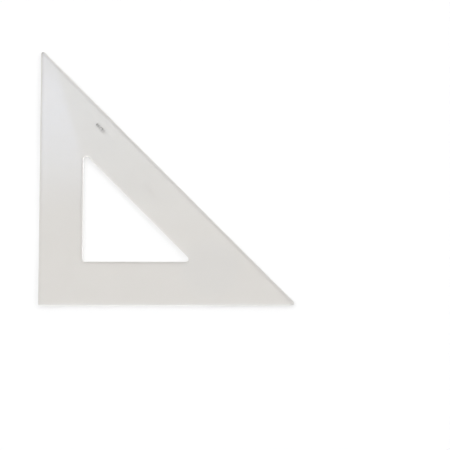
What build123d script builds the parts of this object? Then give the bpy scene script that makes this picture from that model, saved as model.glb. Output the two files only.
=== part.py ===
from build123d import *
import os
from math import atan, atan2, degrees, hypot, sqrt

# A 45/90 degree set square: one flat plate of clear acrylic, lying face up on Z = 0.
# Millimetres. X runs along the base leg and Y along the upright leg. The origin is the
# centre of the bounding box's bottom, so the right-angled corner is at -X, -Y.

# ---- driving dimensions -------------------------------------------------------------
leg_length = 152.4  # each leg, measured over its blunted tip: 6 inches
thickness = 2.0
band_width = 26.0  # from each ruling edge to the opening's edge beside it
tip_radius = 1.3  # all three outer corners, in plan
opening_radius = 1.6  # all three corners of the opening, in plan

bevel_width = 0.9  # outer bevel, measured across the face
bevel_depth = 0.5  # what is left under it is the upright ruling edge
opening_bevel_width = 0.5
opening_bevel_depth = 0.3
edge_break = 0.12  # rounding of the sharp edges underneath

mark_text = "45/90"  # the two angles of the plate, in degrees
mark_height = 1.7  # height of a stamped figure
mark_width = 0.74  # width of a stamped figure
mark_advance = 1.45  # from one figure to the next
mark_stroke = 0.24  # width of an inked line
mark_inset = 8.3  # middle of the mark, in from the long edge
mark_distance = 59.4  # middle of the mark, along the long edge from the upper corner
stamp_depth = 0.10  # the figures are stamped this deep into the face
ink_thickness = 0.07
ink_clearance = 0.01  # all round, between the ink and the stamped wall

# ---- worked out from them -----------------------------------------------------------
land_height = thickness - bevel_depth
bevel_taper = degrees(atan(bevel_width / bevel_depth))
sharp_leg = leg_length + sqrt(2) * tip_radius  # to where the edges would meet
corner = -leg_length / 2  # X and Y of the right-angled corner
opening_corner = corner + band_width
opening_leg = sharp_leg - (2 + sqrt(2)) * band_width

outer_points = [
    (corner, corner),
    (corner + sharp_leg, corner),
    (corner, corner + sharp_leg),
]
opening_points = [
    (opening_corner, opening_corner),
    (opening_corner + opening_leg, opening_corner),
    (opening_corner, opening_corner + opening_leg),
]

# The mark runs down along the long edge. Its plane's X is that direction, and its Y
# points out towards the edge.
mark_x = corner + (mark_distance - mark_inset) / sqrt(2)
mark_y = corner + sharp_leg - (mark_distance + mark_inset) / sqrt(2)
stamp_floor = Plane(
    origin=(mark_x, mark_y, thickness - stamp_depth),
    x_dir=(1, -1, 0),
    z_dir=(0, 0, 1),
)


# Strokes of each figure, from point to point, in half widths and half heights.
figure_strokes = {
    "4": [((0.4, 1), (0.4, -1)), ((0.4, 1), (-1, -0.35)), ((-1, -0.35), (1, -0.35))],
    "5": [((1, 1), (-1, 1)), ((-1, 1), (-1, 0)), ((-1, 0), (1, 0)), ((1, 0), (1, -1)), ((1, -1), (-1, -1))],
    "/": [((-1, -1), (1, 1))],
    "9": [((1, 0), (-1, 0)), ((-1, 0), (-1, 1)), ((-1, 1), (1, 1)), ((1, 1), (1, -1)), ((1, -1), (-1, -1))],
    "0": [((-1, -1), (-1, 1)), ((-1, 1), (1, 1)), ((1, 1), (1, -1)), ((1, -1), (-1, -1))],
}


def draw_figures(text, stroke):
    """Draw the figures about the sketch's origin, every stroke a bar with square ends."""
    half_width = (mark_width - mark_stroke) / 2
    half_height = (mark_height - mark_stroke) / 2
    first = -mark_advance * (len(text) - 1) / 2
    for place, figure in enumerate(text):
        for start, end in figure_strokes[figure]:
            x0 = first + place * mark_advance + start[0] * half_width
            x1 = first + place * mark_advance + end[0] * half_width
            y0 = start[1] * half_height
            y1 = end[1] * half_height
            with Locations(((x0 + x1) / 2, (y0 + y1) / 2)):
                Rectangle(
                    hypot(x1 - x0, y1 - y0) + stroke,
                    stroke,
                    rotation=degrees(atan2(y1 - y0, x1 - x0)),
                )


# ---- the plate ----------------------------------------------------------------------
with BuildPart() as triangle_plate:
    # upright ruling edges
    with BuildSketch() as land_outline:
        Polygon(*outer_points, align=None)
    extrude(amount=land_height)

    # bevelled upper part
    with BuildSketch(Plane.XY.offset(land_height)) as bevel_outline:
        Polygon(*outer_points, align=None)
    extrude(amount=bevel_depth, taper=bevel_taper)

    # the three tips are blunted after the edges are bevelled
    with BuildSketch() as blunt_outline:
        Polygon(*outer_points, align=None)
        fillet(blunt_outline.vertices(), tip_radius)
    extrude(amount=thickness, mode=Mode.INTERSECT)

    # triangular opening, with a narrow bevel round its upper rim
    with BuildSketch() as opening_outline:
        Polygon(*opening_points, align=None)
        fillet(opening_outline.vertices(), opening_radius)
    extrude(amount=thickness, mode=Mode.SUBTRACT)
    face = triangle_plate.faces().sort_by(Axis.Z)[-1]
    chamfer(
        face.inner_wires()[0].edges(),
        length=opening_bevel_width,
        length2=opening_bevel_depth,
        reference=face,
    )

    # softened edges underneath
    fillet(triangle_plate.faces().sort_by(Axis.Z)[0].edges(), edge_break)

    # the stamped figures, sunk into the face
    with BuildSketch(stamp_floor) as stamped_figures:
        draw_figures(mark_text, mark_stroke)
    extrude(amount=stamp_depth, mode=Mode.SUBTRACT)
triangle_plate.part.label = "triangle_plate"

# ---- the ink, lying on the floor of the stamped figures -----------------------------
with BuildPart() as printed_mark:
    with BuildSketch(stamp_floor) as ink_figures:
        draw_figures(mark_text, mark_stroke - 2 * ink_clearance)
    extrude(amount=ink_thickness)
printed_mark.part.label = "printed_mark"

os.makedirs("parts", exist_ok=True)
export_step(triangle_plate.part, "parts/triangle_plate.step")
export_step(printed_mark.part, "parts/printed_mark.step")
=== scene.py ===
from math import radians

import bpy
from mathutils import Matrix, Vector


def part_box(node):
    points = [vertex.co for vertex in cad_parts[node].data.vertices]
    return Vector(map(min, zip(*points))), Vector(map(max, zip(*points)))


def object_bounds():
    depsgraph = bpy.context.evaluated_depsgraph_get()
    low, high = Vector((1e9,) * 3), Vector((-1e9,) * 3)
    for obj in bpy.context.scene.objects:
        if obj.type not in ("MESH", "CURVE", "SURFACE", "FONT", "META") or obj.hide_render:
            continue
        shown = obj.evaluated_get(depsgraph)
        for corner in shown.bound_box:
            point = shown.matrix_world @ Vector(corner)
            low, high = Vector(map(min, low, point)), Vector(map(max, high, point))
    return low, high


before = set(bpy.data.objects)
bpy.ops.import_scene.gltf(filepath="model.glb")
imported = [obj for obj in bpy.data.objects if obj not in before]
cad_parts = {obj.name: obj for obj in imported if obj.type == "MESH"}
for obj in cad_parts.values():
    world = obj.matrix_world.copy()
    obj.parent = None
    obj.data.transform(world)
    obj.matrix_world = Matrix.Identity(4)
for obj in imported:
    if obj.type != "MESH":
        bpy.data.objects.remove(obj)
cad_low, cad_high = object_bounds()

# A clear 45/90 degree set square lying on a white table, seen from almost straight above.
# Everything is in metres, in the frame of the CAD model.

# ---- places and sizes ---------------------------------------------------------------
leg = cad_high.x - cad_low.x

camera_lens = 64.0  # millimetres, on a 36 mm sensor
camera_place = (0.0259, -0.0542, 0.4803)
camera_tilt = (radians(3.105), radians(-1.068), radians(0.079))
camera_reach = (0.01, 10.0)  # nearest and farthest it sees

table_size = 4.0
table_color = (0.93, 0.93, 0.93, 1)
table_roughness = 0.9
air_gap = 0.0001  # between the table and the plate

# the studio's walls: how bright they are at six angles from straight up, in degrees, on the
# right (+X), far (+Y), left (-X) and near (-Y) sides. The levels are the rounded result of a
# least-squares fit of the plate's edge shading. They aren't a measured room.
horizon = 90  # degrees from straight up
room_zeniths = (24, 36, 48, 60, 72, 84)
room_right = (0.7, 0.4, 1.6, 1.9, 1.2, 1.4)
room_far = (1.2, 1.0, 2.3, 2.2, 1.5, 1.6)
room_left = (1.7, 1.5, 1.4, 1.5, 0.5, 0.8)
room_near = (0.7, 0.4, 0.6, 0.6, 0.5, 0.9)
room_brightest = 2.3  # the largest of them

# its ceiling, which the plate's faces mirror. But for the first pair, which is angles from
# straight up, each pair is two slopes away from straight up, and a change comes in from the
# first slope to the second.
ceiling_edge = (radians(22), radians(18))  # from the walls' light to the ceiling's
ceiling_fade = (0.0, 0.25)  # from the near colour to the far one
ceiling_near = (0.30, 0.24, 0.16, 1)
ceiling_far = (0.38, 0.55, 0.75, 1)
camera_shape = (0.045, 0.028)  # into the camera's dark shape, straight up
camera_dark = (0.1, 0.1, 0.1, 1)
patch_lean = 0.3  # how much the patch's right border leans to the left towards the far side
patch_side = (-0.114, -0.124)
patch_foot = (0.06, 0.21)
patch_head = (0.234, 0.250)
patch_dim = 0.65  # what is left of the patch beyond its head
patch_light = (1.12, 1.35, 1.9, 1)

# how the light is traced
light_bounces = 64
pixel_filter = 1.0  # pixels

# the acrylic sheet. Here and in the ink, a "rise" is the two levels of a noise between which
# its effect comes in.
acrylic_ior = 1.49
acrylic_colors = ((0.868, 0.858, 0.842, 1), (0.876, 0.866, 0.850, 1))
drift_size = 0.06
drift_rise = (0.3, 0.7)
wall_tilt = (0.8, 0.3)  # the normal's vertical part, from where a wall starts to where it is full
bevel_tilt = (0.98, 0.9)
polished_roughness = 0.02
finger_size = 0.012
finger_rise = (0.45, 0.75)
handled_roughness = 0.04  # this and the roughnesses below are added to it
bevel_roughness = 0.03
wall_roughness = 0.10
scratch_turns = (radians(8), radians(52), radians(-37), radians(115))
scratch_length = 0.025
scratch_width = 0.00012
scratch_detail = 1.0
scratch_rise = (0.70, 0.76)
scratch_roughness = 0.12
scratch_depth = 0.000002
cutter_mark_size = 0.0003
cutter_mark_depth = 0.000006
smudge_middle = (-0.068 * leg, -0.052 * leg, 0)
smudge_turn = radians(49)
smudge_length = 0.020
smudge_width = 0.005
smudge_grain = 0.002
smudge_rise = (0.3, 0.6)
smudge_share = 0.5
smudge_color = (0.80, 0.785, 0.765, 1)
smudge_roughness = 0.08

# the stamped ink
ink_turn = radians(45)  # the figures read down along the long edge
fresh_ink = (0.012, 0.012, 0.013, 1)
worn_ink = (0.50, 0.49, 0.48, 1)
ink_grain = 0.00012
ink_detail = 3.0
ink_fade = (-0.1, 0.4)  # along the mark, from its middle, in lengths of the mark
ink_fade_share = 0.36
ink_wear_rise = (0.62, 0.88)
ink_dry_rise = (0.3, 0.7)
ink_roughness = (0.45, 0.65)  # from its smoothest specks to its driest
ink_relief = 0.00001


# ---- node helpers -------------------------------------------------------------------
def new_material(name):
    """A node material with nothing in it yet but its Principled shader and its output."""
    material = bpy.data.materials.new(name)
    material.use_nodes = True
    return material, material.node_tree, material.node_tree.nodes["Principled BSDF"]


def add_node(tree, kind, **settings):
    """A new node with the given properties set."""
    node = tree.nodes.new(kind)
    for name, value in settings.items():
        setattr(node, name, value)
    return node


def math_node(tree, operation, first, second=None, third=None):
    """A math node whose inputs are numbers or other nodes' outputs; gives its output."""
    node = add_node(tree, "ShaderNodeMath", operation=operation)
    for socket, value in zip(node.inputs, (first, second, third)):
        if value is None:
            continue
        if isinstance(value, (int, float)):
            socket.default_value = value
        else:
            tree.links.new(value, socket)
    return node.outputs[0]


def smooth_range(tree, value, low, high, to_low=0.0, to_high=1.0):
    """Maps value from low..high to to_low..to_high with soft ends."""
    node = add_node(tree, "ShaderNodeMapRange", interpolation_type="SMOOTHSTEP")
    tree.links.new(value, node.inputs["Value"])
    node.inputs["From Min"].default_value = low
    node.inputs["From Max"].default_value = high
    node.inputs["To Min"].default_value = to_low
    node.inputs["To Max"].default_value = to_high
    return node.outputs["Result"]


def mix_colors(tree, factor, first, second):
    """Mixes two colours, each a tuple or another node's output, by a node's output."""
    node = add_node(tree, "ShaderNodeMix", data_type="RGBA")
    tree.links.new(factor, node.inputs["Factor"])
    for name, value in (("A", first), ("B", second)):
        socket = [s for s in node.inputs if s.name == name and s.type == "RGBA"][0]
        if isinstance(value, tuple):
            socket.default_value = value
        else:
            tree.links.new(value, socket)
    return [s for s in node.outputs if s.type == "RGBA"][0]


# ---- the studio ---------------------------------------------------------------------
def make_camera():
    """The camera, almost straight above the plate."""
    camera = bpy.data.objects.new("camera", bpy.data.cameras.new("camera"))
    bpy.context.scene.collection.objects.link(camera)
    camera.data.lens = camera_lens
    camera.data.clip_start, camera.data.clip_end = camera_reach
    camera.location = camera_place
    camera.rotation_mode = "ZYX"
    camera.rotation_euler = camera_tilt
    bpy.context.scene.camera = camera


def make_table():
    """A plain white table top just under the plate."""
    mesh = bpy.data.meshes.new("table")
    half = table_size / 2
    corners = [(-half, -half, 0), (half, -half, 0), (half, half, 0), (-half, half, 0)]
    mesh.from_pydata(corners, [], [(0, 1, 2, 3)])
    table = bpy.data.objects.new("table", mesh)
    table.location.z = cad_low.z - air_gap
    bpy.context.scene.collection.objects.link(table)
    material, _, shader = new_material("table_white")
    shader.inputs["Base Color"].default_value = table_color
    shader.inputs["Roughness"].default_value = table_roughness
    shader.inputs["Specular IOR Level"].default_value = 0.0
    mesh.materials.append(material)


def side_light(tree, zenith, brightness):
    """How bright one side of the room is, from straight up down to the horizon."""
    along = math_node(tree, "DIVIDE", zenith, radians(horizon))
    ramp = add_node(tree, "ShaderNodeValToRGB")
    tree.links.new(along, ramp.inputs[0])
    ramp.color_ramp.interpolation = "EASE"
    stops = ramp.color_ramp.elements
    stops[1].position = room_zeniths[-1] / horizon
    stops[0].position = room_zeniths[0] / horizon
    for degrees in room_zeniths[1:-1]:
        stops.new(degrees / horizon)
    # the ramp's own levels run up to 1 and are scaled back afterwards
    for stop, value in zip(stops, brightness):
        level = value / room_brightest
        stop.color = (level, level, level, 1)
    return math_node(tree, "MULTIPLY", ramp.outputs[0], room_brightest)


def make_world():
    """A room of soft light, with the camera's dark shape and a pale blue patch overhead."""
    world = bpy.data.worlds.new("studio")
    bpy.context.scene.world = world
    world.use_nodes = True
    tree = world.node_tree
    background = tree.nodes["Background"]
    direction = add_node(tree, "ShaderNodeTexCoord").outputs["Generated"]
    split = add_node(tree, "ShaderNodeSeparateXYZ")
    tree.links.new(direction, split.inputs[0])
    x, y, z = split.outputs
    zenith = math_node(tree, "ARCCOSINE", z)
    level = math_node(tree, "MULTIPLY_ADD", x, x, math_node(tree, "MULTIPLY", y, y))
    level = math_node(tree, "SQRT", level)

    # the walls: each side's light counts by the squared cosine of the angle, seen from above,
    # between the ray and that side
    walls = 0.0
    sides = ((x, 1, room_right), (y, 1, room_far), (x, -1, room_left), (y, -1, room_near))
    for axis, sign, brightness in sides:
        toward = math_node(tree, "DIVIDE", math_node(tree, "MULTIPLY", axis, sign), level)
        toward = math_node(tree, "MAXIMUM", toward, 0.0)
        share = math_node(tree, "MULTIPLY", toward, toward)
        walls = math_node(tree, "MULTIPLY_ADD", share, side_light(tree, zenith, brightness), walls)

    # what the plate's face mirrors, placed by its slopes away from straight up
    slope_x = math_node(tree, "DIVIDE", x, z)
    slope_y = math_node(tree, "DIVIDE", y, z)
    along = smooth_range(tree, slope_y, *ceiling_fade)
    ceiling = mix_colors(tree, along, ceiling_near, ceiling_far)
    slope = math_node(tree, "DIVIDE", level, z)
    in_shape = smooth_range(tree, slope, *camera_shape)
    ceiling = mix_colors(tree, in_shape, ceiling, camera_dark)
    leaning = math_node(tree, "MULTIPLY_ADD", slope_y, patch_lean, slope_x)
    left_of_side = smooth_range(tree, leaning, *patch_side)
    above_foot = smooth_range(tree, slope_y, *patch_foot)
    past_head = smooth_range(tree, slope_y, *patch_head, 1.0, patch_dim)
    patch = math_node(tree, "MULTIPLY", left_of_side, above_foot)
    patch = math_node(tree, "MULTIPLY", patch, past_head)
    ceiling = mix_colors(tree, patch, ceiling, patch_light)

    overhead = smooth_range(tree, zenith, *ceiling_edge)
    light = mix_colors(tree, overhead, walls, ceiling)
    tree.links.new(light, background.inputs["Color"])


# ---- materials ----------------------------------------------------------------------
def object_place(tree, middle=(0, 0, 0), turn=0.0, scale=(1, 1, 1)):
    """Object coordinates in metres, moved to a middle, turned about Z and then stretched."""
    place = add_node(tree, "ShaderNodeTexCoord").outputs["Object"]
    moved = add_node(tree, "ShaderNodeVectorMath", operation="SUBTRACT")
    tree.links.new(place, moved.inputs[0])
    moved.inputs[1].default_value = middle
    turned = add_node(tree, "ShaderNodeVectorRotate", rotation_type="Z_AXIS")
    tree.links.new(moved.outputs[0], turned.inputs["Vector"])
    turned.inputs["Angle"].default_value = turn
    stretched = add_node(tree, "ShaderNodeVectorMath", operation="MULTIPLY")
    tree.links.new(turned.outputs[0], stretched.inputs[0])
    stretched.inputs[1].default_value = scale
    return stretched.outputs[0]


def noise(tree, place, size, detail=2.0):
    """Soft noise, about half on average, with features of the given size."""
    node = add_node(tree, "ShaderNodeTexNoise")
    tree.links.new(place, node.inputs["Vector"])
    node.inputs["Scale"].default_value = 1 / size
    node.inputs["Detail"].default_value = detail
    return node.outputs[0]


def scratches(tree, turn):
    """Sparse straight hairlines, 1 on a line and 0 between: noise drawn out one way."""
    lengthwise = scratch_width / scratch_length
    place = object_place(tree, turn=turn, scale=(lengthwise, 1, 1))
    return smooth_range(tree, noise(tree, place, scratch_width, scratch_detail), *scratch_rise)


def smudge(tree):
    """A rubbed streak on the long band: 1 in its middle, 0 outside, uneven within."""
    scale = (2 / smudge_length, 2 / smudge_width, 0)
    place = object_place(tree, middle=smudge_middle, turn=smudge_turn, scale=scale)
    distance = add_node(tree, "ShaderNodeVectorMath", operation="LENGTH")
    tree.links.new(place, distance.inputs[0])
    streak = smooth_range(tree, distance.outputs["Value"], 1.0, 0.0)
    uneven = smooth_range(tree, noise(tree, object_place(tree), smudge_grain), *smudge_rise)
    return math_node(tree, "MULTIPLY", streak, uneven)


def clear_acrylic():
    """Clear, faintly smoky acrylic: polished faces, milled edges, hairlines and a smudge."""
    material, tree, shader = new_material("clear_acrylic")
    shader.inputs["Transmission Weight"].default_value = 1.0
    shader.inputs["IOR"].default_value = acrylic_ior

    # the sheet's own tone drifts slowly, and the smudge dims it a little
    drift = noise(tree, object_place(tree), drift_size)
    rubbed = smudge(tree)
    color = mix_colors(tree, smooth_range(tree, drift, *drift_rise), *acrylic_colors)
    color = mix_colors(tree, math_node(tree, "MULTIPLY", rubbed, smudge_share), color, smudge_color)
    tree.links.new(color, shader.inputs["Base Color"])

    # where the milled surfaces are: the walls, and the bevels together with the walls
    facing = add_node(tree, "ShaderNodeNewGeometry").outputs["Normal"]
    split = add_node(tree, "ShaderNodeSeparateXYZ")
    tree.links.new(facing, split.inputs[0])
    level = math_node(tree, "ABSOLUTE", split.outputs["Z"])
    wall = smooth_range(tree, level, *wall_tilt)
    bevel = smooth_range(tree, level, *bevel_tilt)

    lines = scratches(tree, scratch_turns[0])
    for turn in scratch_turns[1:]:
        lines = math_node(tree, "MAXIMUM", lines, scratches(tree, turn))

    # roughness: polish, finger marks, the milled bevels and walls, the smudge and scratches
    handled = smooth_range(tree, noise(tree, object_place(tree), finger_size), *finger_rise)
    roughness = math_node(tree, "MULTIPLY_ADD", handled, handled_roughness, polished_roughness)
    roughness = math_node(tree, "MULTIPLY_ADD", bevel, bevel_roughness, roughness)
    roughness = math_node(tree, "MULTIPLY_ADD", wall, wall_roughness, roughness)
    roughness = math_node(tree, "MULTIPLY_ADD", rubbed, smudge_roughness, roughness)
    roughness = math_node(tree, "MULTIPLY_ADD", lines, scratch_roughness, roughness)
    tree.links.new(roughness, shader.inputs["Roughness"])

    # relief: scratches on the faces, and cutter marks that run up and down the walls
    cutter_place = object_place(tree, scale=(1, 1, 0))
    cutter = math_node(tree, "MULTIPLY", noise(tree, cutter_place, cutter_mark_size), wall)
    relief = math_node(tree, "MULTIPLY", lines, -scratch_depth)
    relief = math_node(tree, "MULTIPLY_ADD", cutter, cutter_mark_depth, relief)
    bump = add_node(tree, "ShaderNodeBump")
    bump.inputs["Distance"].default_value = 1.0
    tree.links.new(relief, bump.inputs["Height"])
    tree.links.new(bump.outputs[0], shader.inputs["Normal"])
    return material


def stamping_ink():
    """Matt black ink, speckled with wear and rubbed to grey towards the last figure."""
    material, tree, shader = new_material("stamped_ink")
    low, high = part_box("printed_mark")
    middle = (low + high) / 2
    length = (high - low).length
    place = object_place(tree, middle=middle, turn=ink_turn, scale=(1 / length, 0, 0))
    along = add_node(tree, "ShaderNodeSeparateXYZ")
    tree.links.new(place, along.inputs[0])
    faded = smooth_range(tree, along.outputs["X"], *ink_fade)
    fine = noise(tree, object_place(tree), ink_grain, ink_detail)
    worn = math_node(tree, "MULTIPLY_ADD", faded, ink_fade_share, fine)
    color = mix_colors(tree, smooth_range(tree, worn, *ink_wear_rise), fresh_ink, worn_ink)
    tree.links.new(color, shader.inputs["Base Color"])
    roughness = smooth_range(tree, fine, *ink_dry_rise, *ink_roughness)
    tree.links.new(roughness, shader.inputs["Roughness"])
    bump = add_node(tree, "ShaderNodeBump")
    bump.inputs["Distance"].default_value = ink_relief
    tree.links.new(fine, bump.inputs["Height"])
    tree.links.new(bump.outputs[0], shader.inputs["Normal"])
    return material


def paint(node, material):
    """Gives a CAD node one material in place of its own."""
    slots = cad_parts[node].data.materials
    slots.clear()
    slots.append(material)


# ---- the scene ----------------------------------------------------------------------
bpy.context.scene.view_settings.view_transform = "Standard"
# the table is lit through the plate, and light trapped between its faces comes out at its
# edges, so light isn't blurred or clamped on its way and may bounce many times
bpy.context.scene.cycles.blur_glossy = 0.0
bpy.context.scene.cycles.sample_clamp_indirect = 0.0
bpy.context.scene.cycles.max_bounces = light_bounces
bpy.context.scene.cycles.transmission_bounces = light_bounces
bpy.context.scene.cycles.glossy_bounces = light_bounces
bpy.context.scene.cycles.filter_width = pixel_filter
make_camera()
make_table()
make_world()
paint("triangle_plate", clear_acrylic())
paint("printed_mark", stamping_ink())
